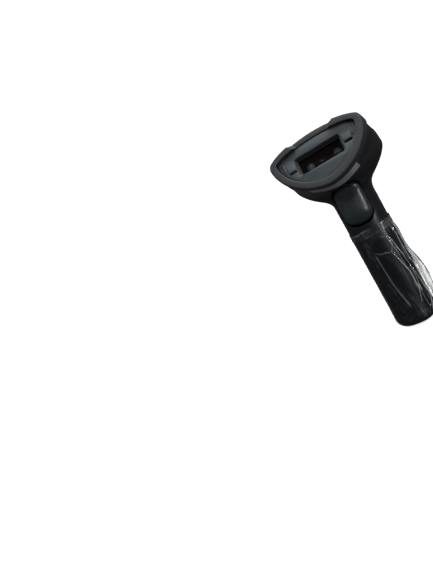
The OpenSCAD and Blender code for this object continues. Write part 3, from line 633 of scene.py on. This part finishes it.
def makeHousing():
    front = makeShell("frontHousing", "front", "front_shell")
    cutWith(front, [triggerCutter()])
    roundEdges(front, 0.3, 3)
    rear = makeShell("rearHousing", "rear", "rear_shell")
    cutters = [
        makeCutter(rodAlongY(screwSize["head"], 8, 30, side * screwSize["x"], z)) for side in (-1, 1)
        for z in screwSize["z"]
    ]
    bm = bmesh.new()
    bmesh.ops.create_cone(
        bm, cap_ends=True, segments=40, radius1=statusSize["radius"], radius2=statusSize["radius"], depth=40,
        matrix=Matrix.Translation((0, statusSize["y"], statusSize["z"] + 20))
    )
    cutWith(rear, cutters + [makeCutter(bm)])
    roundEdges(rear, 0.3, 3)
    makeScrewTubes()


makeHousing()
print("housing halves made")
makeTrigger()
print("trigger made")


# rubber bumper

rimSize = {
    "rubber": 1.2, "band": 5.2, "wrapTop": 12, "wrapLow": 7, "padFrom": 18.5, "padHigh": 1.0, "notch": 2.8,
    "plate": 4.0, "plateThick": 2.2
}


def plateSection(s):
    b, r = bodySize, rimSize
    p = headPoint(0, s, 0)
    inset = r["rubber"] - r["band"]
    return (
        p.y, p.z, 90 - b["tilt"], b["faceWidth"] / 2 + inset, b["faceDrop"] + inset,
        b["faceRise"] + inset + 1.2, b["rimPower"], b["headPower"]
    )


def makeBumper():
    b, r = bodySize, rimSize
    padAngle = math.degrees(math.acos(r["padFrom"] / (b["faceWidth"] / 2 + r["rubber"])))
    keys = [
        0, padAngle, padAngle + 1.5, padAngle + 6, 174 - padAngle, 178.5 - padAngle, 180 - padAngle, 180, 360
    ]
    steps = [34, 4, 6, 34, 6, 4, 34, 110]
    angles = [mix(keys[i], keys[i + 1], j / steps[i]) for i in range(8) for j in range(steps[i])]
    profiles = []
    for angle in angles:
        aside = 180 - angle if angle > 90 else angle
        pad = 0 if angle > 180 else (
            1 - smoothStep((aside - padAngle) / 1.5) if aside > padAngle else smoothStep((aside - 6) / 16)
        )
        notch = 0 if angle > 180 else smoothStep((aside - padAngle - 1.5) / 4.5)
        sine = math.sin(math.radians(angle))
        v = (b["faceDrop"] if sine < 0 else b["faceRise"]) * sine
        back = mix(r["wrapLow"], r["wrapTop"], (v + b["faceDrop"]) / (b["faceDrop"] + b["faceRise"]))
        g, f = r["rubber"] + r["padHigh"] * pad, r["notch"] * notch
        rim = [
            (back, 0.15), (back, g - 0.45), (back - 0.12, g - 0.15), (back - 0.45, g), (mix(back, f, 0.5), g),
            (f + 1.6, g), (f + 0.85, g - 0.06), (f + 0.35, g - 0.28), (f + 0.08, g - 0.7), (f, g - 1.3)
        ]
        lip = [(f, 0.8), (f + 0.06, 0.34), (f + 0.26, 0.08), (f + 0.6, 0), (r["plate"] + 0.1, 0)]
        tuck = [
            (r["plate"] + 0.1, -b["wall"]), (b["shellFront"] - 0.1, -b["wall"]), (b["shellFront"] - 0.1, 0.15)
        ]
        profiles.append(
            [onSection(headSection(s), grow, angle) for s, grow in rim]
            + [onSection(plateSection(s), grow, angle) for s, grow in lip]
            + [onSection(headSection(s), grow, angle) for s, grow in tuck]
        )
    bm = bmesh.new()
    skin(bm, [[profile[j] for profile in profiles] for j in range(len(profiles[0]))], around=True)
    piece = makePiece(bm, "rubberBumper", "mouldedGreyRubber", smooth=32)
    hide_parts("bumper")


makeBumper()
print("bumper made")


# face plate and window frame

plateSize = {  # mm
    "openWidth": 35.2, "openHeight": 13.4, "openV": -7.5, "tongueX": 21.4, "tongueV": -6.4, "tongue": (6, 4.6),
    "slitV": -9.4, "slit": (6, 1.2),
    "ribX": 26.2, "ribV": -3.8, "rib": (1.6, 6.4), "through": [(12, 0), (-4, 0)],
}


def roundedOutline(width, height, radius, cx=0, cy=0, corner=8):
    points = []
    for sx, sy, start in ((1, -1, -90), (1, 1, 0), (-1, 1, 90), (-1, -1, 180)):
        for i in range(corner + 1):
            a = math.radians(start + 90 * i / corner)
            points.append(
                (
                    cx + sx * (width / 2 - radius) + radius * math.cos(a),
                    cy + sy * (height / 2 - radius) + radius * math.sin(a)
                )
            )
    return points


def headBlock(outline, layers):
    # closed solid of the same outline at each depth, drawn in by the given amount
    bm = bmesh.new()
    rings = []
    for s, shrink in layers:
        cx = sum(x for x, v in outline) / len(outline)
        cv = sum(v for x, v in outline) / len(outline)
        wide = max(x for x, v in outline) - cx
        tall = max(v for x, v in outline) - cv
        rings.append(
            [
                headPoint(cx + (x - cx) * (1 - shrink / wide), s, cv + (v - cv) * (1 - shrink / tall)) for x,
                v in outline
            ]
        )
    skin(bm, rings)
    closeEnds(bm)
    return bm


def makeFacePlate():
    p, r = plateSize, rimSize
    bm = bmesh.new()
    n = 180
    layers = [
        (headSection(r["plate"] + r["plateThick"]), -2.35), (headSection(r["plate"] + 0.15), -2.35),
        (plateSection(r["plate"] + 0.15), -0.55), (plateSection(3.7), -0.55), (plateSection(3.5), -0.62),
        (plateSection(3.4), -0.85)
    ]
    skin(bm, [[onSection(section, grow, 360 * k / n) for k in range(n)] for section, grow in layers])
    closeEnds(bm)
    piece = makePiece(bm, "facePlate", "mouldedGreyAbs")
    cutters = [
        makeCutter(headBlock(roundedOutline(p["openWidth"], p["openHeight"], 2, 0, p["openV"]), p["through"]))
    ]
    for side in (-1, 1):
        cutters.append(
            makeCutter(
                headBlock(roundedOutline(*p["slit"], 0.5, side * p["tongueX"], p["slitV"]), p["through"])
            )
        )
    cutWith(piece, cutters)
    added = []
    for side in (-1, 1):
        added.append(
            makeCutter(
                headBlock(
                    roundedOutline(*p["tongue"], 0.7, side * p["tongueX"], p["tongueV"]),
                    [(4.4, 0), (3.0, 0), (2.6, 0.3), (2.45, 0.8)]
                )
            )
        )
        added.append(
            makeCutter(
                headBlock(
                    roundedOutline(*p["rib"], 0.6, side * p["ribX"], p["ribV"]),
                    [(4.4, 0), (3.1, 0), (2.95, 0.2)]
                )
            )
        )
    cutWith(piece, added, "UNION")
    roundEdges(piece, 0.14, 2)
    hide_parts("face_plate")


windowSteps = [  # depth, then how far the side, top and bottom walls stand in there, in mm
    (6.9, 0.06, 0.06, 0.06), (3.45, 0.06, 0.06, 0.06), (3.45, 0.35, 0.8, 0.25), (4.3, 0.4, 0.9, 0.28),
    (4.35, 0.8, 1.75, 0.5), (5.2, 0.85, 1.85, 0.53), (5.25, 1.25, 2.85, 0.75), (6.9, 1.3, 3.0, 0.8),
]


def makeWindowFrame():
    p = plateSize
    bm = bmesh.new()
    rings = []
    for s, side, top, low in windowSteps:
        outline = roundedOutline(
            p["openWidth"] - 2 * side, p["openHeight"] - top - low, 1.9 - min(1.1, side), 0,
            p["openV"] - (top - low) / 2
        )
        rings.append([headPoint(x, s, v) for x, v in outline])
    skin(bm, rings, around=True)
    piece = makePiece(bm, "windowFrame", "mouldedBlackAcetal")
    roundEdges(piece, 0.1, 2)
    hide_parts("window_frame")


makeFacePlate()
makeWindowFrame()
print("face made")


# label under the face

labelSize = {"width": 38, "from": 8.4, "to": 21, "thick": 0.22}


def makeLabel():
    b = labelSize
    bm = bmesh.new()
    bmesh.ops.create_grid(bm, x_segments=60, y_segments=20, size=0.5)
    for vert in bm.verts:
        x, s = vert.co.x * b["width"], mix(b["from"], b["to"], vert.co.y + 0.5)
        section = headSection(s)
        c = math.copysign((abs(x) / (section[3] + 0.1)) ** (section[6] / 2), x)
        vert.co = onSection(section, 0.1, -math.degrees(math.acos(c)))
    piece = makePiece(bm, "chinLabel", "silverPolyesterLabel", outward=False)
    solid = piece.modifiers.new("thickness", "SOLIDIFY")
    solid.thickness = b["thick"] * 0.001
    solid.offset = 1
    settle(piece)
    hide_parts("chin_label")


makeLabel()


# rounded end of the grip

capSize = {"floor": 2, "portY": 8, "portWidth": 9.4, "portHeight": 3.8}


def makeEndCap():
    b = bodySize
    bm = bmesh.new()
    n = b["around"]
    steps = 14
    layers = [
        (
            b["capRound"] * (1 - math.cos(math.pi / 2 * i / steps)),
            b["capRound"] * (1 - math.sin(math.pi / 2 * i / steps))
        )
        for i in range(steps + 1)
    ] + [(b["capTop"] - 0.15, 0)]
    skin(bm, [[onSection(gripSection(z, shrink), 0, 360 * k / n) for k in range(n)] for z, shrink in layers])
    closeEnds(bm, lambda edge: edge.verts[0].co.z < 1)
    piece = makePiece(bm, "endCap", "mouldedBlackAbs")
    thicken(piece, capSize["floor"])
    bm = bmesh.new()
    skin(
        bm,
        [
            [
                (x, y, z) for x,
                y in roundedOutline(capSize["portWidth"], capSize["portHeight"], 1.85, 0, capSize["portY"])
            ]
            for z in (-3, 5)
        ]
    )
    closeEnds(bm)
    cutWith(piece, [makeCutter(bm)])
    roundEdges(piece, 0.25, 3)
    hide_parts("butt_cap")


makeEndCap()
print("end cap and label made")


# clear film round the grip

filmSize = {  # mm; flat is the cut film's width round the grip and its height
    "low": 4.4, "high": 85, "gap": 0.45, "columns": 300, "rows": 190, "flat": (140, 83), "perDegree": 0.3,
    "bandLow": 78.6, "bandHigh": 84.7, "bandGap": 0.6, "bandRows": 16,
}


filmCreases = [  # each runs through points of (angle round the grip, height), with its lift and width in mm
    {"run": [(281, 76), (298, 73), (303, 66), (293, 61), (271, 63), (262, 66)], "lift": 0.5, "wide": 0.8},
    {"run": [(262, 64), (264, 50), (266, 38), (273, 16)], "lift": 0.7, "wide": 0.7},
    {"run": [(293, 61), (303, 50), (312, 40), (310, 27), (301, 16)], "lift": 1.0, "wide": 0.9},
    {"run": [(307, 70), (315, 58), (322, 48), (328, 24), (331, 10)], "lift": 0.8, "wide": 0.8},
    {"run": [(299, 76), (307, 70), (311, 62), (321, 52)], "lift": 0.6, "wide": 0.8},
    {"run": [(332, 76), (334, 50), (330, 17), (321, 6)], "lift": 0.9, "wide": 0.8},
    {"run": [(345, 78), (349, 56), (343, 30), (339, 8)], "lift": 1.1, "wide": 1.0},
    {"run": [(321, 44), (319, 34), (314, 22), (317, 8)], "lift": 0.8, "wide": 0.7},
    {"run": [(359, 78), (357, 60), (3, 34), (353, 8)], "lift": 1.2, "wide": 1.0},
    {"run": [(17, 74), (11, 52), (19, 26), (11, 6)], "lift": 1.1, "wide": 1.0},
    {"run": [(39, 77), (43, 50), (37, 20), (41, 6)], "lift": 0.9, "wide": 0.9},
    {"run": [(65, 72), (61, 44), (69, 22), (63, 8)], "lift": 0.8, "wide": 0.9},
    {"run": [(89, 77), (93, 58), (87, 30)], "lift": 0.7, "wide": 0.8},
    {"run": [(121, 60), (117, 40), (123, 18), (119, 7)], "lift": 0.6, "wide": 0.8},
    {"run": [(213, 40), (217, 26), (211, 10)], "lift": 0.35, "wide": 0.7},
]
filmShape = {  # mm and degrees: the slack fold, the fine pleats and crumples, and the side with painted sheen
    "bulge": 4.6, "bulgeTurn": 4, "bulgeSpread": 34, "pleatSize": 4.6, "pleatHigh": 34, "pleatLift": 0.5,
    "crumpleSize": 2.6, "crumpleHigh": 5, "paintedSheenTurn": 330, "far": 9,
}
filmTight = [  # patches where the film lies on the grip, with less lift and no painted sheen or highlight: angle, height, half sizes, degrees of lean a mm
    (278, 68, 15, 6.5, 0), (281, 41, 12, 20, -0.64), (322, 66, 8, 11, 0), (
        321, 48, 6, 9, -0.5
    ), (315, 16, 9, 8, 0), (346, 40, 7, 24, 0.1),
]


def flatRun(run):
    # the crease's points on the film laid flat, in mm, with no jump where the angle starts again
    points = [Vector((run[0][0] * filmSize["perDegree"], run[0][1]))]
    for angle, z in run[1:]:
        u, lap = angle * filmSize["perDegree"], 360 * filmSize["perDegree"]
        points.append(Vector((u + lap * round((points[-1].x - u) / lap), z)))
    return points


def creaseShare(points, angle, z):
    # distance in mm from the crease, and how much of its lift it has there
    lap = 360 * filmSize["perDegree"]
    middle = sum(point.x for point in points) / len(points)
    u = angle * filmSize["perDegree"]
    here = Vector((u + lap * round((middle - u) / lap), z))
    if min(abs(here.x - point.x) for point in points) > filmShape["far"] or z > max(
        p.y for p in points
    ) + 3 or z < min(p.y for p in points) - 3:
        return filmShape["far"], 0
    best = filmShape["far"]
    for first, second in zip(points, points[1:]):
        line = second - first
        t = min(1, max(0, (here - first).dot(line) / line.length_squared))
        best = min(best, (here - first - line * t).length)
    ends = min((here - points[0]).length, (here - points[-1]).length)
    return best, smoothStep(ends / 5 + 0.3)


def filmRise(x, y, z, angle, creases):
    # how far the film stands off the grip, and how strong its painted highlight is there: tight in front, slack at
    # the side and back
    f = filmShape
    turn = (angle - f["bulgeTurn"] + 180) % 360 - 180
    slack = math.exp(-(turn / f["bulgeSpread"]) ** 2)
    bulge = f["bulge"] * slack * smoothStep((62 - z) / 30) * smoothStep((z - 2) / 22)
    loose = 0.12 + 0.88 * smoothStep((math.cos(math.radians(angle - 2)) + 0.1) / 0.9)
    pleats = max(
        0,
        1 - 3.2 * abs(
            noise.noise(Vector((x / f["pleatSize"] + z / 75, y / f["pleatSize"], z / f["pleatHigh"])))
        )
    )
    crumple = abs(noise.noise(Vector((x / f["crumpleSize"], y / f["crumpleSize"], z / f["crumpleHigh"] + 9))))
    foot = smoothStep((16 - z) / 12)
    rise = bulge + f["pleatLift"] * loose * pleats ** 2 + (0.1 + 0.4 * foot + 0.25 * slack) * loose * crumple
    tight = 0
    for middle, level, wide, tall, lean in filmTight:
        across = ((angle - middle - lean * (z - level) + 180) % 360 - 180) / wide
        tight = max(tight, 1 - smoothStep((math.hypot(across, (z - level) / tall) - 0.8) / 0.35))
    paintedSheenSide = smoothStep((math.cos(math.radians(angle - f["paintedSheenTurn"])) + 0.35) / 0.8)
    # painted light: a painted sheen on one side of the grip and painted highlights on the pleat ridges, none on the
    # tight patches
    paintedHighlight = ((0.02 + 0.2 * crumple) * paintedSheenSide + 0.6 * loose * pleats ** 6) * (1 - tight)
    rise *= 1 - 0.8 * tight * (1 - slack)
    for points, wide, lift in creases:
        away, share = creaseShare(points, angle, z)
        if away > 3:
            continue
        lift, away = lift * share, away / wide
        rise += lift * math.exp(-away * away)
        # painted highlight along the crease's ridge
        paintedHighlight += min(1, lift * 1.5) * math.exp(-(away * 2.6) ** 2)
    return rise, min(1, paintedHighlight)


def filmBase(z):
    b = bodySize
    if z >= b["capRound"]:
        return gripSection(z)
    a = math.acos(1 - z / b["capRound"])
    return gripSection(z, b["capRound"] * (1 - math.sin(a)))


def makeFilmLayer(name, finishName, low, high, gap, rows, scale, ragged):
    columns = filmSize["columns"]
    bm = bmesh.new()
    # per-point strength of the painted sheen and painted highlights, stored as the crease attribute
    paintedHighlightLayer = bm.verts.layers.float.new("crease")
    bmesh.ops.create_grid(bm, x_segments=columns, y_segments=rows, size=0.5)
    creases = [(flatRun(crease["run"]), crease["wide"], crease["lift"]) for crease in filmCreases]
    for vert in bm.verts:
        angle, level = (vert.co.x + 0.5) * 360, vert.co.y + 0.5
        edge = ragged * noise.noise(
            Vector((3 * math.cos(math.radians(angle)), 3 * math.sin(math.radians(angle)), 0))
        )
        z = mix(low + edge, high, level)
        section = filmBase(z)
        point = onSection(section, gap, angle)
        rise, paintedHighlight = filmRise(point.x, point.y, z, angle, creases)
        vert.co = onSection(section, gap + scale * rise, angle)
        vert[paintedHighlightLayer] = paintedHighlight
    bmesh.ops.remove_doubles(bm, verts=bm.verts, dist=0.002)
    return makePiece(bm, name, finishName, smooth=60)


def makeFilmWrap():
    f = filmSize
    band = makeFilmLayer(
        "filmBand", "bandedFilm", f["bandLow"], f["bandHigh"], f["bandGap"], f["bandRows"], 0.5, 0
    )
    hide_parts("film_tape")
    film = makeFilmLayer("gripFilm", "clearFilm", f["low"], f["high"], f["gap"], f["rows"], 1, 1.4)
    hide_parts("grip_film")
    area = sum(face.area for face in film.data.polygons)
    print("film area", round(area * 1e6), "mm2; flat cut", f["flat"])


makeFilmWrap()
print("film made")


# pieces that keep their construction shape

kept = {
    "scan_window": "polishedFilterAcrylic", "trigger_pin": "brightSpringSteel",
    "pin_bracket": "mouldedBlackEpoxy", "trigger_spring": "brightSpringSteel",
    "switch_body": "mouldedBlackEpoxy", "switch_plunger": "redNylon", "main_board": "greenCircuitBoard",
    "board_chips": "mouldedBlackEpoxy",
    "radio_module": "tinnedSteel", "buzzer": "mouldedBlackEpoxy", "board_connectors": "creamNylon",
    "board_screws": "brightSpringSteel",
    "status_led": "clearLedResin", "status_lens": "frostedAcrylic",
    "engine_chassis": "glassFilledPolycarbonate", "lens_barrel": "glassFilledPolycarbonate",
    "lens_glass": "coatedLensGlass", "aimer_leds": "clearLedResin", "led_lenses": "frostedAcrylic",
    "sensor_board": "greenCircuitBoard",
    "line_sensor": "mouldedBlackEpoxy", "engine_screws": "brightSpringSteel", "ribbon_cable": "whiteFlatCable",
    "battery": "blueShrinkSleeve",
    "battery_pads": "blackFoam", "battery_leads": "blackPvc", "usb_board": "greenCircuitBoard",
    "usb_socket": "tinnedSteel",
    "usb_harness": "blackPvc", "case_screws": "blackenedSteel",
}


def paintNodes():
    for node, name in kept.items():
        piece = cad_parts[node]
        if not piece.material_slots:
            piece.data.materials.append(None)
        for slot in piece.material_slots:
            slot.material = finish[name]


paintNodes()
print("construction pieces painted")


# studio

studio = {  # m, W and hex colours
    "floor": "#f4f4f3", "world": "#ffffff", "worldPower": 0.09, "glow": 0.8, "radius": 1.7, "height": 1.5,
    "sweep": 0.5,
}
lamps = {  # where each stands and what it faces, in m; size in m, power in W
    "sky": {"at": (0.45, -0.1, 1.15), "to": (0, 0, 0.12), "size": (0.8, 0.8), "power": 20},
    "front": {"at": (0.3, -0.95, 0.95), "to": (0, 0, 0.12), "size": (0.6, 0.5), "power": 5},
    "edge": {"at": (0.95, -0.75, 0.05), "to": (0, 0, 0.1), "size": (0.14, 0.08), "power": 5},
    "left": {"at": (-0.85, -0.3, 0.9), "to": (0, 0, 0.14), "size": (0.35, 0.35), "power": 6},
}


def makeStudio():
    bm = bmesh.new()
    f, sweep = studio["radius"], studio["sweep"]
    profile = [(0, 0), (0.4, 0), (0.8, 0), (f - sweep, 0)]
    profile += [
        (f - sweep + sweep * math.sin(math.radians(a)), sweep - sweep * math.cos(math.radians(a)))
        for a in range(10, 91, 10)
    ] + [(f, studio["height"])]
    verts = [bm.verts.new((x, 0, z - 0.0001)) for x, z in profile]
    edges = [bm.edges.new(pair) for pair in zip(verts, verts[1:])]
    bmesh.ops.spin(
        bm, geom=verts + edges, cent=(0, 0, 0), axis=(0, 0, 1), angle=2 * math.pi, steps=96, use_merge=True
    )
    bmesh.ops.remove_doubles(bm, verts=bm.verts, dist=1e-5)
    bmesh.ops.recalc_face_normals(bm, faces=bm.faces)
    mesh = bpy.data.meshes.new("studioFloor")
    bm.to_mesh(mesh)
    bm.free()
    floor = bpy.data.objects.new("studioFloor", mesh)
    bpy.context.collection.objects.link(floor)
    mesh.shade_smooth()
    paper = bpy.data.materials.new("paleBackdropPaper")
    paper.use_nodes = True
    shader = paper.node_tree.nodes["Principled BSDF"]
    shader.inputs["Base Color"].default_value = linearColor(studio["floor"])
    shader.inputs["Roughness"].default_value = 0.9
    shader.inputs["Specular IOR Level"].default_value = 0.1
    shader.inputs["Emission Color"].default_value = linearColor(studio["floor"])
    shader.inputs["Emission Strength"].default_value = studio["glow"]
    mesh.materials.append(paper)
    floor.visible_glossy = floor.visible_diffuse = False  # a dark room keeps black plastic black
    world = bpy.data.worlds.new("studioSky")
    world.use_nodes = True
    world.node_tree.nodes["Background"].inputs["Color"].default_value = linearColor(studio["world"])
    world.node_tree.nodes["Background"].inputs["Strength"].default_value = studio["worldPower"]
    bpy.context.scene.world = world
    for name, lamp in lamps.items():
        data = bpy.data.lights.new(name, "AREA")
        data.shape = "RECTANGLE"
        data.size, data.size_y = lamp["size"]
        data.energy = lamp["power"]
        light = bpy.data.objects.new(name, data)
        bpy.context.collection.objects.link(light)
        light.location = lamp["at"]
        light.rotation_euler = (Vector(lamp["to"]) - Vector(lamp["at"])).to_track_quat("-Z", "Y").to_euler()


makeStudio()
print("studio made")
